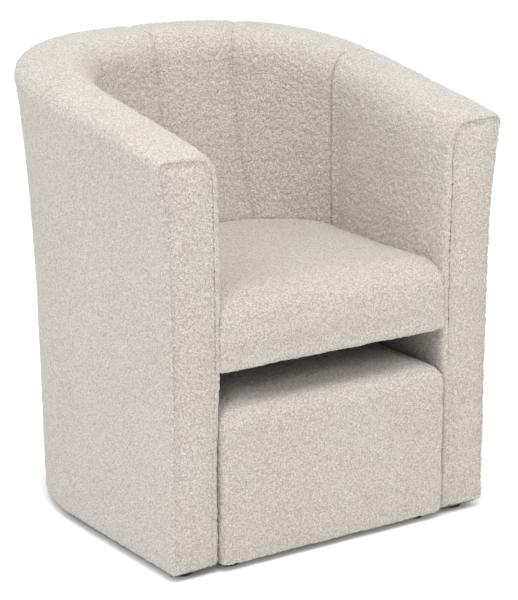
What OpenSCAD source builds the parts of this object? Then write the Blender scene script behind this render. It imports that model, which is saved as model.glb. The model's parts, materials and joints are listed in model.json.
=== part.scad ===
// Barrel armchair with an ottoman that stands under its seat.
// +Z is up, -Y is the front, and the origin is on the floor under the middle of the bounding box.
// Inside the modules, y = 0 is the front plane of the arms, and placed() moves that to the origin.

/* [Barrel] */
// Height from the floor to the top of the back
overall_h = 760; // [700:10:920]
// Width of the barrel at its foot
body_w = 614; // [520:2:760]
// Depth of the barrel at its foot, from the front of the arms to the back
body_d = 624; // [540:2:780]
// How far the rim stands out past the foot on each side
side_flare = 22; // [0:1:40]
// How far the sides bow out at the rim, halfway back
side_bow = 10; // [0:1:20]
// How far the rim stands out past the foot at the back
back_flare = 22; // [0:2:60]
// How much lower the arms are at their front than the back
arm_drop = 88; // [20:2:120]
// Thickness of each arm at the seat
arm_t = 88; // [84:1:120]
// Thickness of the back at the seat
back_t = 182; // [150:2:230]
// Thickness of the rim at the back
rim_t = 118; // [100:2:140]
// How far the back arc is deeper than a half circle
back_oval = 17; // [0:1:60]

/* [Seat] */
// Height of the seat above the floor
seat_h = 440; // [390:2:540]
// Height of the seat block at its front
seat_block_h = 116; // [100:2:140]
// Height of the seat rails
rail_h = 50; // [30:2:60]
// Thickness of the seat rails
rail_t = 22; // [15:1:30]

/* [Ottoman] */
// Gap between the ottoman and each arm
bay_gap = 5.5; // [3:0.5:20]
// Gap between the top of the ottoman and the seat
hand_gap = 54; // [25:1:90]
// How far the ottoman stands past the front of the arms
ottoman_proud = 4; // [0:1:15]
// How far the ottoman reaches past the straight part of the arms
ottoman_past = 30; // [0:2:60]
// Thickness of the ottoman's foam
ottoman_foam_t = 50; // [20:2:80]

/* [Materials] */
// Thickness of the cover fabric
cover_t = 3; // [2:0.5:5]
// Thickness of the padding behind the outer cover
outer_pad_t = 8; // [4:1:14]
// Thickness of the padding on the front of the arms
front_pad_t = 10; // [5:1:20]
// Thickness of the foam on the inside of the back
back_foam_t = 40; // [20:2:55]
// Thickness of the lining on each side of the ottoman bay
lining_t = 16; // [10:1:20]
// Thickness of the plywood ribs and arm boards
ply_t = 18; // [12:1:24]
// Thickness of the thin plywood boards
board_t = 9; // [6:1:15]
// Thickness of the ottoman's boards
box_t = 12; // [9:1:18]
// Width of the webbing
strap_w = 60; // [40:5:70]

/* [Feet] */
// Height of the glides
glide_h = 12; // [8:1:30]
// Diameter of the glides
glide_d = 34; // [24:1:44]
// Diameter of the glide screws
screw_d = 5; // [3:0.5:6]
// Diameter of the seat bolts
bolt_d = 8; // [6:1:10]

/* [Hidden] */

$fn = 48;

// Fits and small thicknesses
fit_gap = 0.5;
skin_gap = 0.3;
foam_gap = 1.5;
cloth_t = 1;
strap_t = 2;
hole_gap = 0.3;

// Colours
cream = "#d9d3c9";
foam_colour = "#e8dfb8";
ply_colour = "#cda875";
pine_colour = "#d8b983";
cloth_colour = "#242424";
steel_colour = "#b4b6b8";
glide_colour = "#1c1c1c";
webbing_colour = "#4a3f38";

// Overall sizes worked out from the driving ones
rim_d = body_d + back_flare;
straight = body_d - body_w / 2 - back_oval;
seat_half = body_w / 2 - arm_t;
seat_d = body_d - back_t;
seat_under = seat_h - seat_block_h;
bay_half = seat_half + 5;
board_half = bay_half + lining_t;

// Shape of the barrel: powers of the flare, the rise of the rim and the plan's arc
flare_power = 4;
back_flare_power = 1.6;
rise_power = 1.5;
plan_power = 2.16;
rim_plan_power = 2.4;
lean_power = 2.2;
side_lean = 5;

// Shape of the padded rim: how far it rolls in and down on each side
front_roll_out = 14;
back_roll_out = 32;
front_roll_in = 26;
back_roll_in = 50;
front_roll_down = 36;
back_roll_down = 68;
rim_under = 78;

// Steps along the outline and up the walls
side_steps = 4;
arc_steps = 32;
last_step = 2 * side_steps + arc_steps;
wall_steps = 8;
// Least height between two rows of points on a wall
row_gap = 2;
roll_steps = 4;
// Steps at which the inner cover has its seams
seam_steps = [0, side_steps + 1, side_steps + 10, side_steps + 16, side_steps + 22,
              side_steps + arc_steps - 1, last_step];

// Levels of the frame
rib_bottom = glide_h + cloth_t;
rib_top = rib_bottom + ply_t;
rail_bottom = seat_under + cloth_t + cover_t;
rail_top = rail_bottom + rail_h;
deck_h = rail_top + 2 * strap_t;
pad_back_y = cover_t + front_pad_t;
front_board_y = pad_back_y + ply_t;

// ---------- outline functions ----------

function signed_pow(v, p) = sign(v) * pow(abs(v), p);

function lerp(a, b, t) = a + (b - a) * t;

// How much of the flare is reached at height z
function flare_at(z) = max(0, (z - glide_h) / (overall_h - glide_h));

function outer_half(z) = body_w / 2 + side_flare * pow(flare_at(z), flare_power);

// How far the sides bow out at height z
function bow_at(z) = side_bow * pow(flare_at(z), flare_power);

function outer_depth(z) = body_d + back_flare * pow(flare_at(z), back_flare_power);

// The middle of the whole, from the ottoman's front to the widest reach of the rim's back
mid_y = (outer_depth(overall_h - back_roll_out) - ottoman_proud) / 2;

// How far up from the seat to the rim the height z is
function lean_at(z) = max(0, (z - seat_h) / (overall_h - seat_h));

function inner_half(z) = seat_half + side_lean * lean_at(z);

function inner_depth(z) = seat_d + (rim_d - rim_t - seat_d) * (1 - pow(1 - lean_at(z), lean_power));

// Height of the rim's crest, y behind the front of the arms
function crest_z(y) =
    overall_h - arm_drop * pow(1 - min(1, y / rim_d), rise_power);

// How far along an arm step i is, from 0 at its front to 1 where the arc starts
function arm_share(i) = min(1, min(i, last_step - i) / side_steps);

// One point of the U-shaped outline at step i, from the front of the left arm to the right one.
// The outline bows out by bow along the arms, and power sets how square its arc is.
function plan_point(i, half, depth, front, bow = 0, power = plan_power) =
    let (a = 180 * min(1, max(0, (i - side_steps) / arc_steps)))
    let (reach = half + bow * sin(90 * arm_share(i)))
    [-reach * signed_pow(cos(a), 2 / power),
     arm_share(i) < 1 ? lerp(front, straight, arm_share(i))
                      : straight + (depth - straight) * pow(sin(a), 2 / power)];

function outline(half, depth, front, first = 0, last = last_step) =
    [for (i = [first:last]) plan_point(i, half, depth, front)];

function reversed(list) = [for (i = [len(list) - 1:-1:0]) list[i]];

// Share of its full reach that the arc has at share t of its other axis
function arc_share(t) = pow(1 - pow(min(1, t), plan_power), 1 / plan_power);

// How deep the U-shaped outline is, x from its middle
function depth_at_x(x, half, depth) = straight + (depth - straight) * arc_share(abs(x) / half);

// How wide half of the U-shaped outline is, y behind its front
function half_at_y(y, half, depth) = half * arc_share(max(0, y - straight) / (depth - straight));

// Distance behind the arms' front of the rim above step i
function rim_y(i) = plan_point(i, outer_half(overall_h), rim_d, 0)[1];

function crest_at(i) = crest_z(rim_y(i));

// Share of the way from the front of an arm to the back, for the rim's roll
function roll_share(i) = arm_share(i);

function roll_out(i) = lerp(front_roll_out, back_roll_out, roll_share(i));

function roll_in(i) = lerp(front_roll_in, back_roll_in, roll_share(i));

function roll_down(i) = lerp(front_roll_down, back_roll_down, roll_share(i));

// Height of the flat bottom of the rim's foam above step i
function under_at(i) = crest_z(min(rim_y(i), straight)) - rim_under;

function outer_point(i, z, inset, front) =
    let (power = lerp(plan_power, rim_plan_power, flare_at(z)))
    let (p = plan_point(i, outer_half(z) - inset, outer_depth(z) - inset, front, bow_at(z), power))
    [p[0], p[1], z];

function inner_point(i, z, inset, front) =
    let (p = plan_point(i, inner_half(z) + inset, inner_depth(z) + inset, front)) [p[0], p[1], z];

// A point of the rim's cross-section: s runs 0 to 1 over the outer roll and 1 to 2 over the inner one
function rim_point(i, s, inset, front) =
    let (top = crest_at(i), out = roll_out(i))
    let (a = outer_point(i, top - out, 0, front))
    let (b = inner_point(i, top - roll_down(i), 0, front))
    let (wide = norm([b[0] - a[0], b[1] - a[1]]))
    let (across = s <= 1 ? inset + (out - inset) * (1 - cos(90 * s))
                         : wide - inset - (roll_in(i) - inset) * (1 - sin(90 * (s - 1))))
    let (z = s <= 1 ? top - out + (out - inset) * sin(90 * s)
                    : top - inset - (roll_down(i) - inset) * (1 - cos(90 * (s - 1))))
    [lerp(a[0], b[0], across / wide), lerp(a[1], b[1], across / wide), z];

// The point under it, on the flat bottom of the rim's foam
function rim_under_point(i, s, inset, front) =
    let (top = rim_point(i, s, inset, front), z = under_at(i))
    let (a0 = rim_point(i, 0, inset, front), b0 = rim_point(i, 2, inset, front))
    let (share = norm([top[0] - a0[0], top[1] - a0[1]]) / norm([b0[0] - a0[0], b0[1] - a0[1]]))
    let (a = outer_point(i, z, inset, front), b = inner_point(i, z, inset, front))
    [lerp(a[0], b[0], share), lerp(a[1], b[1], share), z];

// ---------- shared shapes ----------

module placed() {
    translate([0, -mid_y, 0]) children();
}

module both_sides() {
    children();
    mirror([1, 0, 0]) children();
}

// A closed sheet between two grids of points with the same number of rows and columns
module slab(front_grid, back_grid) {
    rows = len(front_grid);
    cols = len(front_grid[0]);
    count = rows * cols;
    points = concat([for (row = front_grid) each row], [for (row = back_grid) each row]);
    front_faces = [for (r = [0:rows - 2]) for (c = [0:cols - 2]) let (k = r * cols + c)
        each [[k, k + 1, k + cols + 1], [k, k + cols + 1, k + cols]]];
    back_faces = [for (face = front_faces) [face[2] + count, face[1] + count, face[0] + count]];
    rim = concat([for (c = [0:cols - 1]) c],
                 [for (r = [1:rows - 1]) r * cols + cols - 1],
                 [for (c = [cols - 2:-1:0]) (rows - 1) * cols + c],
                 [for (r = [rows - 2:-1:1]) r * cols]);
    edge_faces = [for (n = [0:len(rim) - 1]) let (a = rim[n], b = rim[(n + 1) % len(rim)])
        each [[a, a + count, b + count], [a, b + count, b]]];
    polyhedron(points = points, faces = concat(front_faces, back_faces, edge_faces));
}

// A plate whose plan is the band between two U-shaped outlines
module u_band(bottom, height, outer_h, outer_d, inner_h, inner_d, front, first = 0, last = last_step) {
    points = concat(outline(outer_h, outer_d, front, first, last),
                    reversed(outline(inner_h, inner_d, front, first, last)));
    translate([0, 0, bottom]) linear_extrude(height) polygon(points);
}

// A plate whose plan is a whole U-shaped outline, closed across its front
module u_plate(bottom, height, half, depth, front) {
    translate([0, 0, bottom]) linear_extrude(height) polygon(outline(half, depth, front));
}

// A post with level ends, from one point to another, turned about the vertical
module post(low, high, wide, deep, turn) {
    corners = [for (c = [[-1, -1], [1, -1], [1, 1], [-1, 1]])
        [c[0] * wide / 2 * cos(turn) - c[1] * deep / 2 * sin(turn),
         c[0] * wide / 2 * sin(turn) + c[1] * deep / 2 * cos(turn), 0]];
    polyhedron(points = concat([for (c = corners) low + c], [for (c = corners) high + c]),
        faces = [[0, 1, 2, 3], [7, 6, 5, 4], [0, 4, 5, 1], [1, 5, 6, 2], [2, 6, 7, 3], [3, 7, 4, 0]]);
}

module box(low, high) {
    translate(low) cube(high - low);
}

module rounded_box(low, high, radius) {
    size = high - low;
    translate(low) linear_extrude(size[2]) {
        translate([radius, 0]) square([size[0] - 2 * radius, size[1]]);
        translate([0, radius]) square([size[0], size[1] - 2 * radius]);
        for (x = [radius, size[0] - radius])
            for (y = [radius, size[1] - radius])
                translate([x, y]) circle(radius);
    }
}

// ---------- barrel: covers and padding ----------

// Surface of the outer wall, from its foot up to the rim's outer roll
function outer_grid(bottom, inset, front) = [for (r = [0:wall_steps])
    [for (i = [0:last_step])
        outer_point(i, lerp(bottom, crest_at(i) - roll_out(i), r / wall_steps), inset, front)]];

// The same up to the bottom of the rim's foam
function padding_grid(inset) = [for (r = [0:wall_steps])
    [for (i = [0:last_step])
        outer_point(i, lerp(rib_bottom, under_at(i) - skin_gap, r / wall_steps), inset, pad_back_y)]];

// Height of row r of the inner wall at step i, from the seat's deck up to the rim's inner roll
function wall_z(i, r) = lerp(deck_h, crest_at(i) - roll_down(i), r / wall_steps);

// The same rows for what ends below that, at height top, so that its facets lie along the cover's
function wall_z_under(i, r, top) =
    r == wall_steps ? top : min(wall_z(i, r), top - row_gap * (wall_steps - r));

function inner_wall_row(r, inset, front, first, last) =
    [for (i = [first:last]) inner_point(i, wall_z(i, r), inset, front)];

// Surface of the inner cover, from the outer edge of the rim over the crest and down to the seat
function inner_grid(inset, front, first, last) = concat(
    [for (r = [0:2 * roll_steps]) [for (i = [first:last]) rim_point(i, r / roll_steps, inset, front)]],
    [for (r = [wall_steps - 1:-1:0]) inner_wall_row(r, inset, front, first, last)]);

module outer_cover() {
    color(cream) placed()
        slab(outer_grid(glide_h, 0, cover_t), outer_grid(glide_h, cover_t, cover_t));
}

module outer_padding() {
    color(foam_colour) placed()
        slab(padding_grid(cover_t + foam_gap), padding_grid(cover_t + outer_pad_t));
}

module inner_cover(panel) {
    first = seam_steps[panel];
    last = seam_steps[panel + 1];
    color(cream) placed()
        slab(inner_grid(0, cover_t, first, last), inner_grid(cover_t, cover_t, first, last));
}

// Back face of the inner foam: flat on the arm boards, and parallel to the cover round the back
function foam_back_point(i, z) =
    let (p = plan_point(i, board_half, inner_depth(z) + cover_t + back_foam_t, pad_back_y))
    [p[0], p[1], z];

module inner_foam() {
    front_grid = [for (r = [wall_steps:-1:0])
        [for (i = [0:last_step])
            inner_point(i, wall_z_under(i, r, under_at(i) - skin_gap), cover_t + foam_gap, pad_back_y)]];
    back_grid = [for (row = front_grid) [for (i = [0:last_step]) foam_back_point(i, row[i][2])]];
    color(foam_colour) placed() slab(front_grid, back_grid);
}

module inner_back_board() {
    first = side_steps;
    last = side_steps + arc_steps;
    front = cover_t + back_foam_t + foam_gap;
    front_grid = board_grid(first, last, board_half + skin_gap, front);
    back_grid = board_grid(first, last, board_half + cover_t, front + cover_t);
    color(ply_colour) placed() slab(front_grid, back_grid);
}

// Surface of the thin board behind the inner foam, from the seat's rib up to the top rib
function board_grid(first, last, half, behind) = [for (r = [wall_steps:-1:0])
    [for (i = [first:last])
        let (z = r == 0 ? rail_top : wall_z_under(i, r, top_rib_z))
        let (p = plan_point(i, half, inner_depth(z) + behind, 0)) [p[0], p[1], z]]];

module rim_foam() {
    inset = cover_t + skin_gap;
    top_grid = [for (r = [0:2 * roll_steps])
        [for (i = [0:last_step]) rim_point(i, r / roll_steps, inset, pad_back_y)]];
    under_grid = [for (r = [0:2 * roll_steps])
        [for (i = [0:last_step]) rim_under_point(i, r / roll_steps, cover_t + foam_gap, pad_back_y)]];
    color(foam_colour) placed() slab(top_grid, under_grid);
}

// Outline of an arm's front face, left arm, as [x, z] points
function arm_face(inset) =
    let (top = crest_z(0) - inset)
    let (outer_top = outer_half(top - front_roll_out) - inset)
    let (inner_top = inner_half(top - front_roll_down) + inset)
    let (step_x = seat_half + fit_gap + inset)
    concat(
        [for (r = [0:wall_steps]) let (z = lerp(glide_h + inset, top - front_roll_out, r / wall_steps))
            [-outer_half(z) + inset, z]],
        [for (r = [1:roll_steps]) let (a = 90 * r / roll_steps)
            [-outer_top + front_roll_out * (1 - cos(a)), top - front_roll_out * (1 - sin(a))]],
        [for (r = [0:roll_steps]) let (a = 90 * r / roll_steps)
            [-inner_top - front_roll_in * (1 - sin(a)), top - front_roll_down * (1 - cos(a))]],
        [for (r = [wall_steps - 1:-1:0])
            let (z = lerp(deck_h, top - front_roll_down, r / wall_steps)) [-inner_half(z) - inset, z]],
        [[-step_x, seat_under], [-bay_half - inset, seat_under - fit_gap], [-bay_half - inset, glide_h + inset]]);

module arm_face_plate(inset, y, thick) {
    translate([0, y + thick, 0]) rotate([90, 0, 0]) linear_extrude(thick) polygon(arm_face(inset));
}

module arm_front_cover_left() {
    color(cream) placed() arm_face_plate(0, 0, cover_t);
}

module arm_front_cover_right() {
    color(cream) placed() mirror([1, 0, 0]) arm_face_plate(0, 0, cover_t);
}

module arm_front_pad_left() {
    color(foam_colour) placed() arm_face_plate(cover_t + foam_gap, cover_t, front_pad_t);
}

module arm_front_pad_right() {
    color(foam_colour) placed() mirror([1, 0, 0]) arm_face_plate(cover_t + foam_gap, cover_t, front_pad_t);
}

// ---------- barrel: frame ----------

// Outer face of the ribs and boards along the arms
frame_half = body_w / 2 - cover_t - outer_pad_t - 2 * skin_gap;
frame_depth = body_d - cover_t - outer_pad_t - 2 * skin_gap;
rib_w = frame_half - board_half;
arm_board_top = under_at(0) - ply_t;

module arm_front_board_left() {
    color(ply_colour) placed() mirror([1, 0, 0])
        box([board_half, pad_back_y, rib_top], [frame_half, front_board_y, arm_board_top]);
}

module arm_front_board_right() {
    color(ply_colour) placed()
        box([board_half, pad_back_y, rib_top], [frame_half, front_board_y, arm_board_top]);
}

// Holes for the bolts that hold the seat, through everything between the arm board and the rail
bolt_y = [110, 230];
bolt_z = rail_bottom + rail_h / 2;
hole_lead = 10;

module bolt_holes() {
    for (y = bolt_y)
        translate([seat_half - cover_t - rail_t - hole_lead, y, bolt_z])
            rotate([0, 90, 0]) cylinder(d = bolt_d + 2 * hole_gap, h = body_w / 2);
}

module inner_arm_board() {
    difference() {
        box([board_half, front_board_y, rib_top],
            [board_half + board_t, straight, arm_board_top]);
        bolt_holes();
    }
}

module inner_arm_board_left() {
    color(ply_colour) placed() mirror([1, 0, 0]) inner_arm_board();
}

module inner_arm_board_right() {
    color(ply_colour) placed() inner_arm_board();
}

module bay_lining() {
    box([bay_half, pad_back_y, glide_h], [board_half - skin_gap, straight, seat_under - fit_gap]);
}

module bay_lining_left() {
    color(cream) placed() mirror([1, 0, 0]) bay_lining();
}

module bay_lining_right() {
    color(cream) placed() bay_lining();
}

module seat_packer() {
    difference() {
        box([seat_half + fit_gap, pad_back_y + skin_gap, seat_under], [board_half - skin_gap, straight, rail_top]);
        bolt_holes();
    }
}

module seat_packer_left() {
    color(pine_colour) placed() mirror([1, 0, 0]) seat_packer();
}

module seat_packer_right() {
    color(pine_colour) placed() seat_packer();
}

module base_rib() {
    color(ply_colour) placed() difference() {
        u_band(rib_bottom, ply_t, frame_half, frame_depth, board_half, frame_depth - rib_w, pad_back_y);
        glide_holes(glide_spots());
    }
}

rib_inner_d = seat_d + cover_t;

module seat_rib() {
    first = side_steps;
    last = side_steps + arc_steps;
    color(ply_colour) placed()
        u_band(rail_top - ply_t, ply_t, frame_half, frame_depth, board_half, rib_inner_d, 0, first, last);
}

top_rib_z = under_at(side_steps) - ply_t;
top_inner_d = inner_depth(top_rib_z + ply_t) + cover_t + back_foam_t + 2 * skin_gap;
top_outer_half = outer_half(top_rib_z) - cover_t - outer_pad_t - 2 * skin_gap;
top_outer_d = outer_depth(top_rib_z) - cover_t - outer_pad_t - 2 * skin_gap;

module top_back_rib() {
    first = side_steps;
    last = side_steps + arc_steps;
    color(ply_colour) placed()
        u_band(top_rib_z, ply_t, top_outer_half, top_outer_d, board_half + skin_gap, top_inner_d,
               0, first, last);
}

module arm_rail() {
    tops = [for (k = [0:side_steps])
        [lerp(pad_back_y, straight, k / side_steps), under_at(k) - skin_gap]];
    lows = [for (p = reversed(tops)) [p[0], p[1] - ply_t + skin_gap]];
    translate([board_half + skin_gap, 0, 0]) rotate([90, 0, 90])
        linear_extrude(frame_half - board_half - skin_gap) polygon(concat(tops, lows));
}

module arm_rail_left() {
    color(pine_colour) placed() mirror([1, 0, 0]) arm_rail();
}

module arm_rail_right() {
    color(pine_colour) placed() arm_rail();
}

// Posts between the ribs: steps of the outline where they stand, and their section
stud_steps = [2, 7, 12, 16, 20, 25, 30];
stud_w = 45;
stud_d = 32;
stud_gap = 4;
stud_in = stud_d / 2 + stud_gap;

function stud_foot(step, half, depth, z) =
    let (p = plan_point(side_steps + step, half - stud_in, depth - stud_in, 0)) [p[0], p[1], z];

function stud_angle(step) = 90 - 180 * step / arc_steps;

module studs(low_half, low_depth, low_z, high_half, high_depth, high_z) {
    for (step = stud_steps)
        post(stud_foot(step, low_half, low_depth, low_z), stud_foot(step, high_half, high_depth, high_z),
             stud_w, stud_d, stud_angle(step));
}

module lower_studs() {
    color(pine_colour) placed()
        studs(frame_half, frame_depth, rib_top, frame_half, frame_depth, rail_top - ply_t);
}

module upper_studs() {
    color(pine_colour) placed()
        studs(frame_half, frame_depth, rail_top, top_outer_half, top_outer_d, top_rib_z);
}

module bay_back_cloth() {
    first = side_steps;
    last = side_steps + arc_steps;
    half = board_half;
    depth = frame_depth - rib_w;
    color(cloth_colour) placed()
        u_band(glide_h, seat_under - glide_h - fit_gap, half - skin_gap, depth - skin_gap,
               half - skin_gap - cloth_t, depth - skin_gap - cloth_t, 0, first, last);
}

module base_dust_cover() {
    color(cloth_colour) placed() difference() {
        u_band(glide_h, cloth_t, frame_half, frame_depth, board_half, frame_depth - rib_w, pad_back_y);
        glide_holes(glide_spots());
    }
}

// ---------- seat ----------

seat_out_half = seat_half - fit_gap;
seat_out_d = seat_d - fit_gap;
seat_in_half = seat_out_half - cover_t;
seat_in_d = seat_out_d - cover_t;
foam_half = seat_in_half - skin_gap;
foam_d = seat_in_d - skin_gap;

module seat_cover() {
    color(cream) placed() difference() {
        u_plate(seat_under, seat_block_h, seat_out_half, seat_out_d, 0);
        u_plate(seat_under - 1, seat_block_h - cover_t + 1, seat_in_half, seat_in_d, cover_t);
        bolt_holes();
        mirror([1, 0, 0]) bolt_holes();
    }
}

module seat_foam() {
    color(foam_colour) placed()
        u_plate(deck_h + skin_gap, seat_h - cover_t - deck_h - 2 * skin_gap, foam_half, foam_d,
                cover_t + skin_gap);
}

module seat_front_rail() {
    color(pine_colour) placed()
        box([-foam_half, cover_t + skin_gap, rail_bottom], [foam_half, cover_t + skin_gap + rail_t, rail_top]);
}

module seat_side_rail() {
    difference() {
        box([foam_half - rail_t, cover_t + skin_gap + rail_t, rail_bottom], [foam_half, straight, rail_top]);
        bolt_holes();
    }
}

module seat_side_rail_left() {
    color(pine_colour) placed() mirror([1, 0, 0]) seat_side_rail();
}

module seat_side_rail_right() {
    color(pine_colour) placed() seat_side_rail();
}

// Width of the curved rail under the back of the seat
back_rail_w = 55;

module seat_back_rail() {
    color(ply_colour) placed()
        u_band(rail_top - ply_t, ply_t, foam_half, foam_d, foam_half - back_rail_w, foam_d - back_rail_w,
               0, side_steps, side_steps + arc_steps);
}

block_size = 60;

module corner_block() {
    translate([foam_half - rail_t, cover_t + skin_gap + rail_t, rail_top - rail_h])
        linear_extrude(rail_h) polygon([[0, 0], [-block_size, 0], [0, block_size]]);
}

module seat_corner_blocks() {
    color(pine_colour) placed() both_sides() corner_block();
}

strap_margin = 14;
strap_xs = [-1.5, -0.5, 0.5, 1.5];
strap_pitch_x = 95;
first_strap_y = 66;
strap_pitch_y = 88;
strap_count_y = 4;

module webbing_lengthwise() {
    color(webbing_colour) placed()
        for (k = strap_xs) {
            x = k * strap_pitch_x;
            far = depth_at_x(abs(x) + strap_w / 2, foam_half, foam_d) - strap_margin;
            box([x - strap_w / 2, cover_t + skin_gap + 4, rail_top],
                [x + strap_w / 2, far, rail_top + strap_t]);
        }
}

module webbing_crosswise() {
    color(webbing_colour) placed()
        for (k = [0:strap_count_y - 1]) {
            y = first_strap_y + k * strap_pitch_y;
            reach = half_at_y(y + strap_w / 2, foam_half, foam_d) - strap_margin;
            box([-reach, y - strap_w / 2, rail_top + strap_t], [reach, y + strap_w / 2, deck_h]);
        }
}

module seat_dust_cover() {
    color(cloth_colour) placed()
        u_plate(seat_under + cover_t, cloth_t, foam_half, foam_d, cover_t + skin_gap);
}

// The bolts run outwards from the nuts inside the rails to their heads outside the arm boards
nut_h = 6;
nut_w = 13;
bolt_head_h = 5;
bolt_start = foam_half - rail_t - nut_h;

module seat_bolt(y) {
    shank = board_half + board_t - bolt_start;
    translate([bolt_start, y, bolt_z]) rotate([0, 90, 0]) {
        cylinder(d = bolt_d, h = shank);
        translate([0, 0, shank]) cylinder(d = 2 * bolt_d, h = bolt_head_h);
    }
}

module seat_bolts() {
    color(steel_colour) placed() both_sides()
        for (y = bolt_y) seat_bolt(y);
}

module seat_nut(y) {
    translate([bolt_start, y, bolt_z]) rotate([0, 90, 0]) difference() {
        cylinder(d = nut_w / cos(30), h = nut_h - skin_gap, $fn = 6);
        translate([0, 0, -1]) cylinder(d = bolt_d + 2 * hole_gap, h = nut_h + 2);
    }
}

module seat_nuts() {
    color(steel_colour) placed() both_sides()
        for (y = bolt_y) seat_nut(y);
}

// ---------- glides ----------

// Steps of the outline where the two rear glides stand
rear_glide_steps = [9, 23];
glide_in_y = 36;

function rib_middle(step) =
    plan_point(side_steps + step, frame_half - rib_w / 2, frame_depth - rib_w / 2, 0);

function glide_spots() = concat(
    [for (s = [-1, 1]) [s * (frame_half - rib_w / 2), glide_in_y]],
    [for (step = rear_glide_steps) rib_middle(step)]);

screw_head_d = 10;
screw_head_h = 3;
screw_sink = 5;
screw_l = glide_h - screw_sink + cloth_t + box_t - 2;

module glide_holes(spots) {
    for (spot = spots)
        translate([spot[0], spot[1], -1]) cylinder(d = screw_d + 2 * hole_gap, h = glide_h + screw_l);
}

module glide(spot) {
    translate([spot[0], spot[1], 0]) difference() {
        cylinder(d = glide_d, h = glide_h);
        translate([0, 0, -1]) cylinder(d = screw_head_d + 2 * hole_gap, h = screw_sink + 1);
        translate([0, 0, -1]) cylinder(d = screw_d + 2 * hole_gap, h = glide_h + 2);
    }
}

module glide_screw(spot) {
    translate([spot[0], spot[1], screw_sink - screw_head_h]) {
        cylinder(d = screw_head_d, h = screw_head_h);
        cylinder(d = screw_d, h = screw_head_h + screw_l);
    }
}

module chair_glides() {
    color(glide_colour) placed()
        for (spot = glide_spots()) glide(spot);
}

module chair_glide_screws() {
    color(steel_colour) placed()
        for (spot = glide_spots()) glide_screw(spot);
}

// ---------- ottoman ----------

ottoman_half = bay_half - bay_gap;
ottoman_front = -ottoman_proud;
ottoman_back = straight + ottoman_past;
ottoman_top = seat_under - hand_gap;
ottoman_corner = 8;

// Corners of the space inside the ottoman's cover
box_half = ottoman_half - cover_t - skin_gap;
box_front = ottoman_front + cover_t + skin_gap;
box_back = ottoman_back - cover_t - skin_gap;
box_base = glide_h + cloth_t;
box_floor = box_base + box_t;
box_lid = ottoman_top - cover_t - ottoman_foam_t;

module ottoman_cover() {
    color(cream) placed() difference() {
        rounded_box([-ottoman_half, ottoman_front, glide_h], [ottoman_half, ottoman_back, ottoman_top],
                    ottoman_corner);
        box([-box_half - skin_gap, box_front - skin_gap, glide_h - 1],
            [box_half + skin_gap, box_back + skin_gap, ottoman_top - cover_t]);
    }
}

module ottoman_foam() {
    color(foam_colour) placed()
        box([-box_half, box_front, box_lid], [box_half, box_back, ottoman_top - cover_t - skin_gap]);
}

module ottoman_top_board() {
    color(ply_colour) placed()
        box([-box_half, box_front, box_lid - box_t], [box_half, box_back, box_lid]);
}

module ottoman_front_board() {
    color(ply_colour) placed()
        box([-box_half + box_t, box_front, box_floor], [box_half - box_t, box_front + box_t, box_lid - box_t]);
}

module ottoman_back_board() {
    color(ply_colour) placed()
        box([-box_half + box_t, box_back - box_t, box_floor], [box_half - box_t, box_back, box_lid - box_t]);
}

module ottoman_side_board() {
    box([box_half - box_t, box_front, box_floor], [box_half, box_back, box_lid - box_t]);
}

module ottoman_side_board_left() {
    color(ply_colour) placed() mirror([1, 0, 0]) ottoman_side_board();
}

module ottoman_side_board_right() {
    color(ply_colour) placed() ottoman_side_board();
}

post_w = 30;

module ottoman_corner_posts() {
    inner = box_half - box_t;
    color(pine_colour) placed() both_sides()
        for (y = [box_front + box_t, box_back - box_t - post_w])
            box([inner - post_w, y, box_floor], [inner, y + post_w, box_lid - box_t]);
}

ottoman_glide_in = 34;

function ottoman_spots() = [for (x = [-1, 1]) for (y = [ottoman_front + ottoman_glide_in,
                                                         ottoman_back - ottoman_glide_in])
    [x * (ottoman_half - ottoman_glide_in), y]];

module ottoman_base_board() {
    color(ply_colour) placed() difference() {
        box([-box_half, box_front, box_base], [box_half, box_back, box_floor]);
        glide_holes(ottoman_spots());
    }
}

module ottoman_dust_cover() {
    color(cloth_colour) placed() difference() {
        box([-box_half, box_front, glide_h], [box_half, box_back, box_base]);
        glide_holes(ottoman_spots());
    }
}

module ottoman_glides() {
    color(glide_colour) placed()
        for (spot = ottoman_spots()) glide(spot);
}

module ottoman_glide_screws() {
    color(steel_colour) placed()
        for (spot = ottoman_spots()) glide_screw(spot);
}

outer_cover();
outer_padding();
inner_cover(0);  // inner_cover_left_arm
inner_cover(1);  // inner_cover_left_side
inner_cover(2);  // inner_cover_left_back
inner_cover(3);  // inner_cover_right_back
inner_cover(4);  // inner_cover_right_side
inner_cover(5);  // inner_cover_right_arm
inner_foam();
inner_back_board();
rim_foam();
arm_front_cover_left();
arm_front_cover_right();
arm_front_pad_left();
arm_front_pad_right();
arm_front_board_left();
arm_front_board_right();
inner_arm_board_left();
inner_arm_board_right();
bay_lining_left();
bay_lining_right();
bay_back_cloth();
base_rib();
seat_rib();
top_back_rib();
arm_rail_left();
arm_rail_right();
lower_studs();
upper_studs();
seat_packer_left();
seat_packer_right();
seat_front_rail();
seat_side_rail_left();
seat_side_rail_right();
seat_back_rail();
seat_corner_blocks();
webbing_lengthwise();
webbing_crosswise();
seat_foam();
seat_cover();
seat_dust_cover();
base_dust_cover();
seat_bolts();
seat_nuts();
chair_glides();
chair_glide_screws();
ottoman_cover();
ottoman_foam();
ottoman_top_board();
ottoman_front_board();
ottoman_back_board();
ottoman_side_board_left();
ottoman_side_board_right();
ottoman_corner_posts();
ottoman_base_board();
ottoman_dust_cover();
ottoman_glides();
ottoman_glide_screws();
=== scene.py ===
import json
import math

import bmesh
import bpy
import numpy as np
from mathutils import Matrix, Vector
from mathutils.bvhtree import BVHTree
from mathutils.geometry import delaunay_2d_cdt


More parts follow.
